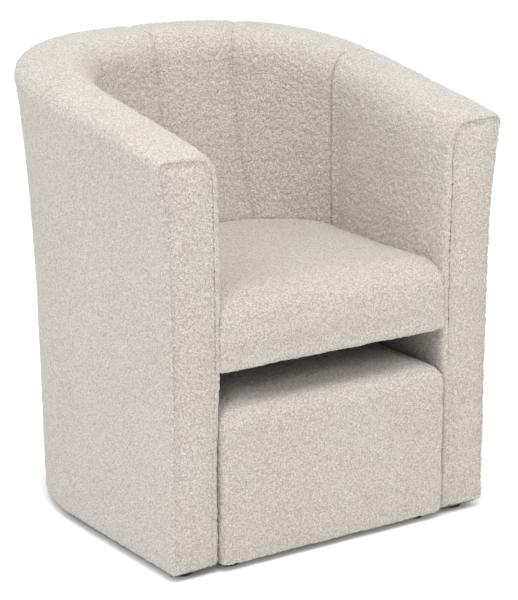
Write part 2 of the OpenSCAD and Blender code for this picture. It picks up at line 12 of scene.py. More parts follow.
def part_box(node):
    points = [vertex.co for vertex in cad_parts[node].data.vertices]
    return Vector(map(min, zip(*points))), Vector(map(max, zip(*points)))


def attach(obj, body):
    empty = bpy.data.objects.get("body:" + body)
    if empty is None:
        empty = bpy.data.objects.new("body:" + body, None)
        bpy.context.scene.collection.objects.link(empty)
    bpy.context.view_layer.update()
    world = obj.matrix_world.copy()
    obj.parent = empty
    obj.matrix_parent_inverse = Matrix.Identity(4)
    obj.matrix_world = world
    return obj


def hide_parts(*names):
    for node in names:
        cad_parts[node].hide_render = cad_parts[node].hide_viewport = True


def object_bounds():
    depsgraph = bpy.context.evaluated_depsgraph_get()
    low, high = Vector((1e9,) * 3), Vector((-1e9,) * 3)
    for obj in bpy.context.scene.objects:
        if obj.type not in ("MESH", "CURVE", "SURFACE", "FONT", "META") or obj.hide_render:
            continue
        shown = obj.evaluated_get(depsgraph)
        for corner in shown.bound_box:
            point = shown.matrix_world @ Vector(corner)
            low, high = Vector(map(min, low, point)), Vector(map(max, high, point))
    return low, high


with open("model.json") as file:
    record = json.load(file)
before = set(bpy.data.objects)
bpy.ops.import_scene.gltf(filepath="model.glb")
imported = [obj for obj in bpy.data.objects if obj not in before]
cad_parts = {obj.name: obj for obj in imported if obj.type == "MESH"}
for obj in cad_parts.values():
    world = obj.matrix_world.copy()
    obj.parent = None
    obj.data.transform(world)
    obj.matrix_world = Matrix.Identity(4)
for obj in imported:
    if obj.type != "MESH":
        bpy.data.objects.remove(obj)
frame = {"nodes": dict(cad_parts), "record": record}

CAD_BOX = [list(corner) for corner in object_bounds()]

# ---------- sizes, in metres ----------

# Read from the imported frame
FRONT_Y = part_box("arm_front_cover_left")[0].y
FOOT_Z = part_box("outer_cover")[0].z
TOP_Z = CAD_BOX[1][2]
SEAT_LOW, SEAT_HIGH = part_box("seat_cover")
OTTOMAN_LOW, OTTOMAN_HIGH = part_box("ottoman_cover")
BAY_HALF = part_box("bay_lining_right")[0].x
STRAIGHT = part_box("bay_lining_right")[1].y - FRONT_Y
SEAT_H = SEAT_HIGH.z
SEAT_UNDER = SEAT_LOW.z
# between the seat and the walls
GAP = 0.0005
SEAT_HALF = SEAT_HIGH.x + GAP
SEAT_DEPTH = SEAT_HIGH.y - FRONT_Y + GAP

# The barrel's walls, with the same names and rules as the CAD. Only the rim's rounding differs:
# each pair is its size at the front of the arms and at the back.
BODY_HALF = 0.307
BODY_DEPTH = 0.624
SIDE_FLARE, SIDE_BOW, BACK_FLARE = 0.022, 0.010, 0.022
ARM_DROP, RIM_T = 0.088, 0.118
RIM_DEPTH = BODY_DEPTH + BACK_FLARE
FLARE_POWER, BACK_FLARE_POWER, RISE_POWER = 4, 1.6, 1.5
PLAN_POWER, RIM_PLAN_POWER, LEAN_POWER = 2.16, 2.4, 2.2
SIDE_LEAN = 0.005
ROLL_OUT, ROLL_IN, ROLL_DOWN = (0.014, 0.030), (0.030, 0.038), (0.050, 0.050)
# the bay is at its full width below this height
BAY_WIDE = 0.18
# steps along the plan: those of each straight arm, those of the round back, and the ones with a seam
SIDE_STEPS, ARC_STEPS = 4, 32
LAST_STEP = 2 * SIDE_STEPS + ARC_STEPS
SEAM_STEPS = [0, 5, 14, 20, 26, 35, LAST_STEP]

# The cover's mesh: the distance between its points, and how far it stays off the foam and the boards
GRAIN = 0.0029
# rough lengths of the rim's cross-section and of the arm front's seam, which set their counts of points
RIM_LENGTH, SEAM_LENGTH = 0.19, 1.45
CLEAR_REACH, FOAM_CLEAR, BOARD_CLEAR = 0.008, 0.0008, 0.0007

# The inner panels: their crown, how far they stand proud of the wall, and the seams between them
CROWN, PROUD = 0.0060, 0.0015
SEAM_DEPTH, SEAM_WIDTH, SEAM_TUCK = 0.0042, 0.0070, 0.0018
# the width of the shade painted into the seams' creases, and how dark that painted shade is, at most seams
# and at the seams beside the arm panels
CREASE_SHADE_WIDTH, CREASE_SHADE, ARM_CREASE_SHADE = 0.0024, 0.16, 0.36
# the ridge that the arm panels raise beside their seam, how far from it and how wide
RIDGE, RIDGE_AT, RIDGE_WIDTH = 0.0030, 0.010, 0.006
# how far the arms and the lining run on behind the seat, and how far the back does
BEHIND_SEAT, BACK_BEHIND_SEAT = 0.004, 0.018
# how far the outer wrap reaches in under the inner panels
WRAP_TUCK = 0.001

# The front of the arms: the rounding of its edge, and how far in its seam lies outside and inside
EDGE_R = 0.008
OUTER_REACH, INNER_REACH = 0.0045, 0.010
# the groove of that seam, and the flanges that cross in it and run back to TUCK_Y
GROOVE, FLANGE, SEAM_LAP = 0.0012, 0.0030, 0.0010
TUCK_Y = 0.009
# how far the padding pushes the top outer corner out and the inner edge in, the heights between
# which the first of these grows, and the shares of the arm over which both fade
LIP, BULGE = 0.0075, 0.0040
LIP_LOW, LIP_HIGH = 0.52, 0.665
LIP_FADE, BULGE_FADE = (0, 0.6), (0.1, 0.6)
# the front's crown and where it is full, from the seam and from the foot
FRONT_CROWN, CROWN_FROM_SEAM, CROWN_FROM_FOOT = 0.0035, 0.035, 0.06
# the valley that the seam pulls into the front, how far from the seam and how wide
VALLEY, VALLEY_AT, VALLEY_WIDTH = 0.0020, 0.008, 0.004

# The hem under the foot of the barrel
HEM_R, HEM_IN, LINING_HEM = 0.007, 0.016, 0.008

# The cushions: rounding of their edges, the grain of their mesh and the width of their hem
SEAT_FRONT_R, SEAT_FOOT_R, SEAT_SIDE_R = 0.034, 0.004, 0.010
OTTOMAN_TOP_R, OTTOMAN_FOOT_R, OTTOMAN_CORNER_R = 0.026, 0.003, 0.008
# the seat's front corners, at its foot and at its top, and the points along its plan
SEAT_CORNER_R, SEAT_POINTS = (0.003, 0.014), 90
SEAT_VOXEL, OTTOMAN_VOXEL = 0.0055, 0.0058
SEAT_HEM, OTTOMAN_HEM = 0.030, 0.026
# the cloth's pressure and time, the smoothing of its swell, and the most that it may swell
PRESSURE, CLOTH_FRAMES, SMOOTHINGS = 4.0, 20, 12
SEAT_SWELL, OTTOMAN_SWELL = 0.010, 0.009


# ---------- the barrel's surface ----------

def signed_pow(v, p):
    return np.sign(v) * np.abs(v) ** p


def lerp(a, b, t):
    return a + (b - a) * t


def smooth(low, high, v):
    t = np.clip((v - low) / (high - low), 0, 1)
    return t * t * (3 - 2 * t)


def flare_at(z):
    """How far up the barrel z is, from 0 at the foot to 1 at the top."""
    return np.clip((z - FOOT_Z) / (TOP_Z - FOOT_Z), 0, None)


def outer_half(z):
    """Half the barrel's width at height z."""
    return BODY_HALF + SIDE_FLARE * flare_at(z) ** FLARE_POWER


def outer_depth(z):
    """The barrel's depth at height z."""
    return BODY_DEPTH + BACK_FLARE * flare_at(z) ** BACK_FLARE_POWER


def lean_at(z):
    """How far up the inner wall z is, from 0 at the seat to 1 at the top."""
    return np.clip((z - SEAT_H) / (TOP_Z - SEAT_H), 0, 1)


def inner_half(z):
    """Half the distance between the inner walls, with the ottoman's bay a little wider than the seat."""
    bay = (BAY_HALF - SEAT_HALF) * (1 - smooth(BAY_WIDE, SEAT_UNDER, z))
    return SEAT_HALF + SIDE_LEAN * lean_at(z) + bay


def inner_depth(z):
    """Depth of the inner back at height z, which leans backwards from the seat up."""
    reach = RIM_DEPTH - RIM_T - SEAT_DEPTH
    return SEAT_DEPTH + reach * (1 - (1 - lean_at(z)) ** LEAN_POWER)


def crest_z(y):
    """Height of the rim's crest, which falls from the back to the front of the arms."""
    return TOP_Z - ARM_DROP * (1 - np.minimum(1, y / RIM_DEPTH)) ** RISE_POWER


def arm_share(i):
    """How far back along the arm step i is, from 0 at its front to 1 where the round back starts."""
    return np.minimum(1, np.minimum(i, LAST_STEP - i) / SIDE_STEPS)


def plan_point(i, half, depth, bow=0.0, power=PLAN_POWER, front=EDGE_R):
    """x and y, y from the front of the arms, of the U-shaped outline at step i."""
    a = math.pi * np.clip((i - SIDE_STEPS) / ARC_STEPS, 0, 1)
    share = arm_share(i)
    reach = half + bow
    arc_y = STRAIGHT + (depth - STRAIGHT) * np.sin(a) ** (2 / power)
    y = np.where(share < 1, lerp(front, STRAIGHT, share), arc_y)
    return -reach * signed_pow(np.cos(a), 2 / power), y


def outer_point(i, z):
    """A point of the outer wall, or one for each value of i and z."""
    power = lerp(PLAN_POWER, RIM_PLAN_POWER, flare_at(z))
    bow = SIDE_BOW * flare_at(z) ** FLARE_POWER * np.sin(math.pi / 2 * arm_share(i))
    bow = bow + LIP * smooth(LIP_LOW, LIP_HIGH, z) * (1 - smooth(*LIP_FADE, arm_share(i)))
    x, y = plan_point(i, outer_half(z), outer_depth(z), bow, power)
    return np.stack([x, y, z + 0 * x], -1)


def inner_point(i, z):
    """A point of the inner wall, or one for each value of i and z."""
    bulge = BULGE * (1 - smooth(*BULGE_FADE, arm_share(i)))
    x, y = plan_point(i, inner_half(z), inner_depth(z), -bulge)
    return np.stack([x, y, z + 0 * x], -1)


def crest_at(i):
    """Height of the crest at step i."""
    return crest_z(plan_point(i, outer_half(TOP_Z), RIM_DEPTH, front=0.0)[1])


def roll(sizes, i):
    """The rim's rounding at step i, from its sizes at the front of the arms and at the back."""
    return lerp(sizes[0], sizes[1], arm_share(i))


def resampled(points, count):
    """The same line with count points at equal distances."""
    steps = np.linalg.norm(np.diff(points, axis=0), axis=1)
    along = np.concatenate([[0], np.cumsum(steps)])
    at = np.linspace(0, along[-1], count)
    return np.stack([np.interp(at, along, points[:, k]) for k in range(3)], -1)


def rim_line(i, samples=48):
    """Cross-section of the rim at step i, from its outer edge over the crest to its inner edge."""
    top, out, inward, down = crest_at(i), roll(ROLL_OUT, i), roll(ROLL_IN, i), roll(ROLL_DOWN, i)
    a, b = outer_point(i, top - out), inner_point(i, top - down)
    wide = np.linalg.norm((b - a)[:2])
    t = np.linspace(0, math.pi / 2, samples)
    across = np.concatenate([out * (1 - np.cos(t)), wide - inward * (1 - np.sin(t))])
    z = np.concatenate([top - out + out * np.sin(t), top - down * (1 - np.cos(t))])
    line = lerp(a, b, (across / wide)[:, None])
    line[:, 2] = z
    return line


def outer_line(i, samples=60):
    """The outer wall at step i, from its hem under the foot up to the rim's outer edge."""
    z = np.linspace(FOOT_Z + HEM_R, crest_at(i) - roll(ROLL_OUT, i), samples)
    wall = outer_point(np.full(samples, float(i)), z)
    foot = outer_point(float(i), FOOT_Z + HEM_R)
    ahead = outer_point(min(i + 0.01, LAST_STEP), foot[2]) - outer_point(max(i - 0.01, 0), foot[2])
    inward = np.array([ahead[1], -ahead[0], 0.0]) / np.linalg.norm(ahead[:2])
    t = np.linspace(0, math.pi / 2, 8)[:-1]
    under = foot + inward * (HEM_R + HEM_IN) - [0, 0, HEM_R]
    turn = foot + inward * HEM_R * (1 - np.sin(t))[:, None] - np.array([0, 0, HEM_R]) * np.cos(t)[:, None]
    return np.vstack([under, turn, wall])


def inner_line(i, samples=50):
    """The inner wall at step i, from the rim's inner edge down past the seat."""
    low = lerp(SEAT_UNDER + BEHIND_SEAT, SEAT_H - BACK_BEHIND_SEAT, smooth(0.85, 1.0, arm_share(i)))
    z = np.linspace(crest_at(i) - roll(ROLL_DOWN, i), low, samples)
    return inner_point(np.full(samples, float(i)), z)


def bay_line(i, samples=40):
    """The lining of the ottoman bay at step i, from under the seat down to a hem under the foot."""
    z = np.linspace(SEAT_UNDER + BEHIND_SEAT, FOOT_Z + HEM_R, samples)
    wall = inner_point(np.full(samples, float(i)), z)
    side = np.array([math.copysign(1, wall[-1, 0]), 0, 0])
    t = np.linspace(0, math.pi / 2, 8)[1:]
    turn = wall[-1] + side * HEM_R * (1 - np.cos(t))[:, None] - np.array([0, 0, HEM_R]) * np.sin(t)[:, None]
    return np.vstack([wall, turn, turn[-1] + side * LINING_HEM])


def steps_between(first, last, height=0.55):
    """Steps from first to last whose columns stand GRAIN apart on the outer wall."""
    dense = np.linspace(first, last, 1200)
    points = outer_point(dense, height)
    along = np.concatenate([[0], np.cumsum(np.linalg.norm(np.diff(points, axis=0), axis=1))])
    count = max(8, int(along[-1] / GRAIN))
    return np.interp(np.linspace(0, along[-1], count), along, dense)


def line_normals(line):
    """Unit normals across the XZ plane of a cross-section, on its left as it runs."""
    ahead = np.gradient(line[:, [0, 2]], axis=0)
    normal = np.stack([ahead[:, 1], -ahead[:, 0]], -1)
    return normal / np.linalg.norm(normal, axis=1)[:, None]


def seam_reach(line):
    """How far in the seam of the arm's front lies: close to the outer corner, further in on the inside."""
    from_inside = smooth(BAY_HALF, BODY_HALF - 0.004, np.abs(line[:, 0]))
    return lerp(INNER_REACH, OUTER_REACH, from_inside)[:, None]


def edge_columns(line, sign):
    """Columns that carry the cover round the front edge of an arm and down into its seam.
    sign turns the normals towards the middle of the arm."""
    normal = line_normals(line) * sign
    inward = np.stack([normal[:, 0], 0 * normal[:, 0], normal[:, 1]], -1)
    reach = seam_reach(line)
    columns = []
    for t in np.linspace(0, math.pi / 2, max(3, int(EDGE_R * 1.6 / GRAIN)))[1:]:
        back = [0, -EDGE_R * math.sin(t), 0]
        columns.append(line + inward * reach * (1 - math.cos(t)) + back)
    for t in np.linspace(0, math.pi / 2, 4)[1:]:
        back = [0, GROOVE * (1 - math.cos(t)) - EDGE_R, 0]
        columns.append(line + inward * (reach + (GROOVE + SEAM_LAP) * math.sin(t)) + back)
    columns.append(columns[-1] + [0, FLANGE, 0] + inward * FLANGE)
    columns.append(columns[-1] + [0, TUCK_Y - GROOVE - FLANGE, 0])
    return columns[::-1]


# ---------- meshes ----------

def new_object(name, data):
    """A new object in the scene."""
    obj = bpy.data.objects.new(name, data)
    bpy.context.scene.collection.objects.link(obj)
    return obj


def piece(name, points, faces, body, material):
    """A new piece in the row frame from points given from the arms' front plane."""
    mesh = bpy.data.meshes.new(name)
    moved = np.asarray(points, float) + [0, FRONT_Y, 0]
    mesh.from_pydata([], [], [])
    mesh.vertices.add(len(moved))
    mesh.vertices.foreach_set("co", moved.astype(np.float32).ravel())
    sizes = np.array([len(f) for f in faces])
    mesh.loops.add(int(sizes.sum()))
    mesh.loops.foreach_set("vertex_index", np.concatenate([np.asarray(f) for f in faces]).astype(np.int32))
    mesh.polygons.add(len(faces))
    mesh.polygons.foreach_set("loop_start", np.concatenate([[0], np.cumsum(sizes)[:-1]]).astype(np.int32))
    mesh.update(calc_edges=True)
    mesh.validate()
    obj = new_object(name, mesh)
    finish_piece(obj, body, material)
    return obj


def finish_piece(obj, body, material):
    """Gives obj its material and smooth faces, and hangs it on the empty of its body."""
    obj.data.materials.clear()
    obj.data.materials.append(material)
    obj.data.polygons.foreach_set("use_smooth", np.ones(len(obj.data.polygons), bool))
    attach(obj, body)


def grid_faces(rows, cols, flip=False):
    """The quads of a grid of points, row by row."""
    k = (np.arange(rows - 1)[:, None] * cols + np.arange(cols - 1)).ravel()
    quads = np.stack([k, k + 1, k + cols + 1, k + cols], -1)
    return quads[:, ::-1] if flip else quads


def grid_normals(grid, flip=False):
    """Unit normals at the points of a grid."""
    across = np.gradient(grid, axis=1)
    along = np.gradient(grid, axis=0)
    normal = np.cross(across, along) * (-1 if flip else 1)
    return normal / np.maximum(np.linalg.norm(normal, axis=2), 1e-12)[:, :, None]


def apply_modifiers(obj):
    """Replaces obj's mesh by what its modifiers make of it."""
    view = bpy.context.evaluated_depsgraph_get()
    view.update()
    made = bpy.data.meshes.new_from_object(obj.evaluated_get(view))
    old = obj.data
    obj.modifiers.clear()
    obj.data = made
    bpy.data.meshes.remove(old)


def texture(name, kind, size, **values):
    """A texture for the Displace modifiers, with features of that size."""
    made = bpy.data.textures.new(name, kind)
    made.noise_scale = size
    for key, value in values.items():
        setattr(made, key, value)
    return made


NUBS = texture("nubs", "VORONOI", 0.0062, noise_intensity=1.25)
LUMPS = texture("lumps", "CLOUDS", 0.045, noise_depth=1)
NUB_H, LUMP_H = 0.0024, 0.0022


def nubby(obj):
    """Raises the loops of the pile and the soft unevenness of the padding in the mesh itself."""
    for relief, height in ((LUMPS, LUMP_H), (NUBS, -NUB_H)):
        raised = obj.modifiers.new(relief.name, "DISPLACE")
        raised.texture = relief
        raised.texture_coords = "LOCAL"
        raised.strength = height
        raised.mid_level = 0.5
    apply_modifiers(obj)
    obj.data.polygons.foreach_set("use_smooth", np.ones(len(obj.data.polygons), bool))


# ---------- materials ----------

def nodes_of(name, colour, roughness, fixed=None):
    """A new material with its Principled shader. fixed are constants for the shader's own sockets."""
    material = bpy.data.materials.new(name)
    material.use_nodes = True
    tree = material.node_tree
    shader = tree.nodes["Principled BSDF"]
    shader.inputs["Base Color"].default_value = (*colour, 1)
    shader.inputs["Roughness"].default_value = roughness
    for key, value in (fixed or {}).items():
        shader.inputs[key].default_value = value
    return material, tree, shader


def add(tree, kind, **values):
    """A new shader node. Each value sets an input socket of that name, or else a property."""
    node = tree.nodes.new("ShaderNode" + kind)
    for key, value in values.items():
        if key in node.inputs:
            node.inputs[key].default_value = value
        else:
            setattr(node, key, value)
    return node


def coordinates(tree, scale=(1, 1, 1)):
    """The place in the object's own metres, stretched by scale."""
    place = add(tree, "TexCoord")
    mapping = add(tree, "Mapping")
    mapping.inputs["Scale"].default_value = scale
    tree.links.new(place.outputs["Object"], mapping.inputs["Vector"])
    return mapping.outputs["Vector"]


def ramp(tree, source, stops):
    """A colour from source, blended between stops of position and colour."""
    node = add(tree, "ValToRGB")
    tree.links.new(source, node.inputs["Fac"])
    while len(node.color_ramp.elements) < len(stops):
        node.color_ramp.elements.new(0.5)
    for element, (at, colour) in zip(node.color_ramp.elements, stops):
        element.position = at
        element.color = (*colour, 1)
    return node.outputs["Color"]


def bump(tree, shader, height, distance, strength=1.0):
    """Raises the shader's surface by height, which is distance metres at 1."""
    node = add(tree, "Bump")
    node.inputs["Distance"].default_value = distance
    node.inputs["Strength"].default_value = strength
    tree.links.new(height, node.inputs["Height"])
    tree.links.new(node.outputs["Normal"], shader.inputs["Normal"])


def mixed(tree, kind, factor, a, b):
    """Two colours blended by kind. Each colour is a tuple or a socket, and factor a number or a socket."""
    node = add(tree, "Mix", data_type="RGBA", blend_type=kind)
    if isinstance(factor, float):
        node.inputs["Factor"].default_value = factor
    else:
        tree.links.new(factor, node.inputs["Factor"])
    # the node has sockets of the same name for each kind of value, so the colours go by number
    for socket, value in ((node.inputs[6], a), (node.inputs[7], b)):
        if isinstance(value, tuple):
            socket.default_value = (*value, 1)
        else:
            tree.links.new(value, socket)
    return node.outputs[2]


def noise(tree, place, scale, detail=2.0, roughness=0.5):
    """Grey noise, with scale features to the metre."""
    node = add(tree, "TexNoise")
    node.inputs["Scale"].default_value = scale
    node.inputs["Detail"].default_value = detail
    node.inputs["Roughness"].default_value = roughness
    tree.links.new(place, node.inputs["Vector"])
    return node.outputs["Fac"]


# Boucle: its loops and curls to the metre, how far the loops are bent, and how high they stand
LOOPS, CURLS, BEND, PILE = 350, 560, 0.006, 0.0016


def boucle_material():
    """Looped pile: bent cells for the loops, fine curls over them, patches of tone, and shade painted into
    the pile's hollows and into the seams' creases.
    """
    material, tree, shader = nodes_of("boucle", (0.75, 0.71, 0.65), 0.95, {
        "Sheen Weight": 0.25, "Sheen Roughness": 0.6, "Specular IOR Level": 0.15})
    place = coordinates(tree)
    warp = add(tree, "TexNoise")
    warp.inputs["Scale"].default_value = 120
    warp.inputs["Detail"].default_value = 1
    tree.links.new(place, warp.inputs["Vector"])
    bent = add(tree, "VectorMath", operation="MULTIPLY_ADD")
    tree.links.new(warp.outputs["Color"], bent.inputs[0])
    bent.inputs[1].default_value = (BEND, BEND, BEND)
    tree.links.new(place, bent.inputs[2])
    loops = add(tree, "TexVoronoi", feature="SMOOTH_F1")
    loops.inputs["Scale"].default_value = LOOPS
    loops.inputs["Smoothness"].default_value = 0.35
    tree.links.new(bent.outputs["Vector"], loops.inputs["Vector"])
    curls = noise(tree, place, CURLS, 3.0, 0.6)
    height = add(tree, "Math", operation="MULTIPLY_ADD")
    tree.links.new(loops.outputs["Distance"], height.inputs[0])
    height.inputs[1].default_value = -1.0
    tree.links.new(curls, height.inputs[2])
    # painted shade in the pile: the colour darkens towards the edges of the loops' cells, in the hollows
    # between the loops
    depth = ramp(tree, loops.outputs["Distance"], [(0.08, (1, 1, 1)), (0.66, (0.62, 0.59, 0.55))])
    tones = [(0.3, (0.675, 0.640, 0.598)), (0.7, (0.705, 0.675, 0.638))]
    patches = ramp(tree, noise(tree, place, 7, 2.0), tones)
    # painted shade in the fine curls: darker where the curls lie low, as the same noise lowers the bump
    # there
    curl_shade = ramp(tree, curls, [(0.35, (0.82, 0.805, 0.78)), (0.65, (1, 1, 1))])
    colour = mixed(tree, "MULTIPLY", 1.0, mixed(tree, "MULTIPLY", 1.0, patches, depth), curl_shade)
    # painted shade in the seams' creases: the colour darkens towards a shadow tone as far as the points'
    # crease shade says
    painted_crease_shade = add(tree, "Attribute", attribute_name="painted_crease_shade")
    colour = mixed(tree, "MULTIPLY", painted_crease_shade.outputs["Fac"], colour, (0.42, 0.38, 0.34))
    tree.links.new(colour, shader.inputs["Base Color"])
    bump(tree, shader, height.outputs["Value"], PILE, 0.8)
    return material


def wood_material(name, light, dark, rings):
    material, tree, shader = nodes_of(name, light, 0.6)
    place = coordinates(tree, (6, 6, 60))
    figure = noise(tree, place, rings, 6.0, 0.65)
    fibre = noise(tree, coordinates(tree, (40, 900, 900)), 1.0, 2.0)
    colour = ramp(tree, figure, [(0.3, dark), (0.7, light)])
    tree.links.new(colour, shader.inputs["Base Color"])
    bump(tree, shader, fibre, 0.0003)
    return material


def foam_material():
    material, tree, shader = nodes_of("foam", (0.84, 0.78, 0.58), 1.0)
    place = coordinates(tree)
    cells = add(tree, "TexVoronoi")
    cells.inputs["Scale"].default_value = 900
    tree.links.new(place, cells.inputs["Vector"])
    tones = [(0.3, (0.78, 0.70, 0.46)), (0.7, (0.86, 0.80, 0.60))]
    colour = ramp(tree, noise(tree, place, 30, 3.0), tones)
    tree.links.new(colour, shader.inputs["Base Color"])
    bump(tree, shader, cells.outputs["Distance"], 0.0006)
    return material


def cloth_material(name, colour, other, scale):
    material, tree, shader = nodes_of(name, colour, 0.9, {"Sheen Weight": 0.1})
    place = coordinates(tree)
    weave = add(tree, "TexWave", wave_type="BANDS", bands_direction="DIAGONAL")
    weave.inputs["Scale"].default_value = scale
    weave.inputs["Distortion"].default_value = 2.0
    tree.links.new(place, weave.inputs["Vector"])
    shade = ramp(tree, noise(tree, place, 90, 4.0), [(0.3, colour), (0.75, other)])
    tree.links.new(shade, shader.inputs["Base Color"])
    bump(tree, shader, weave.outputs["Fac"], 0.0004)
    return material


def steel_material():
    material, tree, shader = nodes_of("zinc_steel", (0.60, 0.61, 0.62), 0.35, {"Metallic": 1.0})
    place = coordinates(tree, (1, 1, 30))
    fine = noise(tree, place, 400, 3.0)
    rough = add(tree, "MapRange")
    rough.inputs["To Min"].default_value = 0.25
    rough.inputs["To Max"].default_value = 0.5
    tree.links.new(fine, rough.inputs["Value"])
    tree.links.new(rough.outputs["Result"], shader.inputs["Roughness"])
    bump(tree, shader, fine, 0.0001)
    return material


def plastic_material():
    material, tree, shader = nodes_of("black_plastic", (0.012, 0.012, 0.012), 0.5)
    place = coordinates(tree)
    grain = noise(tree, place, 1800, 2.0)
    tones = [(0.3, (0.009, 0.009, 0.009)), (0.7, (0.02, 0.02, 0.021))]
    shade = ramp(tree, noise(tree, place, 120, 2.0), tones)
    tree.links.new(shade, shader.inputs["Base Color"])
    bump(tree, shader, grain, 0.0002)
    return material


MATERIALS = {
    "boucle_fabric": boucle_material(),
    "foam": foam_material(),
    "plywood": wood_material("raw_plywood", (0.62, 0.43, 0.23), (0.46, 0.29, 0.14), 2.0),
    "pine": wood_material("raw_pine", (0.70, 0.52, 0.29), (0.56, 0.36, 0.17), 1.2),
    "dust_cloth": cloth_material("black_dust_cloth", (0.012, 0.012, 0.012), (0.03, 0.03, 0.03), 500),
    "webbing": cloth_material("elastic_webbing", (0.05, 0.04, 0.032), (0.10, 0.075, 0.055), 320),
    "steel": steel_material(),
    "glide_plastic": plastic_material(),
}
BOUCLE = MATERIALS["boucle_fabric"]


def dress_cad_nodes():
    """Gives every CAD node the material of its slot, and softens the edges of the glides."""
    for part in frame["record"]["subparts"]:
        node = frame["nodes"][part["node"]]
        node.data.materials.clear()
        node.data.materials.append(MATERIALS[part["material_slot"]])
    for name in ("chair_glides", "ottoman_glides"):
        soft = frame["nodes"][name].modifiers.new("worn_edge", "BEVEL")
        soft.width = 0.0012
        soft.segments = 3
        soft.limit_method = "ANGLE"


# ---------- barrel ----------

def outer_wrap():
    """The one wrap round the outside, from its hem up to just under the inner panels' outer edge."""
    columns_at = steps_between(0, LAST_STEP)
    rows = int((TOP_Z - FOOT_Z) / GRAIN)
    lines = [resampled(outer_line(i), rows) for i in columns_at]
    for k, i in enumerate(columns_at):
        rim = rim_line(i)
        inward = (rim[-1] - rim[0]) / np.linalg.norm(rim[-1] - rim[0])
        lines[k] = np.vstack([lines[k], rim[4] + inward * WRAP_TUCK])
    left = edge_columns(lines[0], 1)
    right = edge_columns(lines[-1], -1)[::-1]
    grid = np.stack(left + lines + right, 1)
    obj = piece("outer_cover_fabric", grid.reshape(-1, 3), grid_faces(*grid.shape[:2], flip=True),
                "chair", BOUCLE)
    nubby(obj)
    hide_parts("outer_cover")
    return obj


def tucked(edge, before, seam, normal):
    """The column that carries a panel on past its seam, just under its neighbour."""
    beyond = edge - before
    beyond = beyond / np.linalg.norm(beyond, axis=1)[:, None]
    return seam + beyond * SEAM_TUCK - normal * SEAM_TUCK / 2


def panel_relief(first, last, share, from_first, to_last):
    """How high a panel stands off its base, and how much shade is painted into its creases. share runs down
    from the rim.
    """
    # seams fade towards the outer edge of the rim and down the wall
    deep = SEAM_DEPTH * (0.30 + 0.70 * smooth(0.0, 0.16, share)) * (1 - 0.35 * smooth(0.35, 0.9, share))
    middle = np.clip(4 * from_first * to_last / from_first[:, -1:] ** 2, 0, 1)
    height = CROWN * middle ** 0.9 * smooth(0.14, 0.38, share)
    painted_crease_shade = np.zeros_like(height)
    for distance, step in ((from_first, first), (to_last, last)):
        if 0 < step < LAST_STEP:
            height = height - deep * np.exp(-(distance / SEAM_WIDTH) ** 1.3)
            shade = ARM_CREASE_SHADE if step in (SEAM_STEPS[1], SEAM_STEPS[-2]) else CREASE_SHADE
            # painted shade along the seam, where its crease lies in shadow
            painted_crease_shade = painted_crease_shade + shade * np.exp(-(distance / CREASE_SHADE_WIDTH) ** 2)
            if first == 0 or last == LAST_STEP:
                puffed = RIDGE * smooth(0.03, 0.20, share)
                height = height + puffed * np.exp(-((distance - RIDGE_AT) / RIDGE_WIDTH) ** 2)
    height = height + PROUD * smooth(0.25, 0.40, share)
    return height, painted_crease_shade * (0.4 + 0.6 * smooth(0.0, 0.06, share))


def inner_panel(number, name):
    """One inner panel, from the rim's outer edge over the crest and down the wall to behind the seat."""
    first, last = SEAM_STEPS[number], SEAM_STEPS[number + 1]
    columns_at = steps_between(first, last, TOP_Z - 0.05)
    rows = int((RIM_LENGTH + TOP_Z - SEAT_H) / GRAIN)
    lines = []
    for i in columns_at:
        rim, wall = rim_line(i), inner_line(i)
        lines.append(resampled(np.vstack([rim, wall[1:]]), rows))
    base = np.stack(lines, 1)
    normal = grid_normals(base, flip=True)
    along = np.linalg.norm(np.diff(base, axis=1), axis=2)
    from_first = np.concatenate([np.zeros((rows, 1)), np.cumsum(along, axis=1)], 1)
    to_last = from_first[:, -1:] - from_first
    share = np.linspace(0, 1, rows)[:, None]
    height, painted_crease_shade = panel_relief(first, last, share, from_first, to_last)
    grid = base + normal * height[:, :, None]
    columns = [grid[:, k] for k in range(grid.shape[1])]
    plain = len(columns)
    if first == 0:
        columns = edge_columns(columns[0], 1) + columns
    else:
        columns = [tucked(base[:, 0], base[:, 1], columns[0], normal[:, 0])] + columns
    before = len(columns) - plain
    if last == LAST_STEP:
        columns = columns + edge_columns(columns[-1], -1)[::-1]
    else:
        columns = columns + [tucked(base[:, -1], base[:, -2], columns[-1], normal[:, -1])]
    grid = np.stack(columns, 1)
    after = len(columns) - plain - before
    painted_crease_shade = np.pad(painted_crease_shade, ((0, 0), (before, after)), mode="edge")
    obj = piece(name + "_fabric", grid.reshape(-1, 3), grid_faces(*grid.shape[:2], flip=True),
                "chair", BOUCLE)
    # the painted crease shade, kept on the points for the boucle's colour
    shaded = obj.data.attributes.new("painted_crease_shade", "FLOAT", "POINT")
    shaded.data.foreach_set("value", painted_crease_shade.astype(np.float32).ravel())
    nubby(obj)
    clear_of(obj, FOAM_CLEAR, "rim_foam", "inner_foam")
    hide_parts(name)
    return obj


def bay_lining(name, first, last):
    """The lining of one side of the ottoman's bay."""
    columns_at = steps_between(first, last)
    rows = int((SEAT_UNDER - FOOT_Z + 0.02) / GRAIN)
    columns = [resampled(bay_line(i), rows) for i in columns_at]
    if first == 0:
        columns = edge_columns(columns[0], 1) + columns
    else:
        columns = columns + edge_columns(columns[-1], -1)[::-1]
    grid = np.stack(columns, 1)
    obj = piece(name + "_fabric", grid.reshape(-1, 3), grid_faces(*grid.shape[:2], flip=True),
                "chair", BOUCLE)
    nubby(obj)
    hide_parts(name)
    return obj


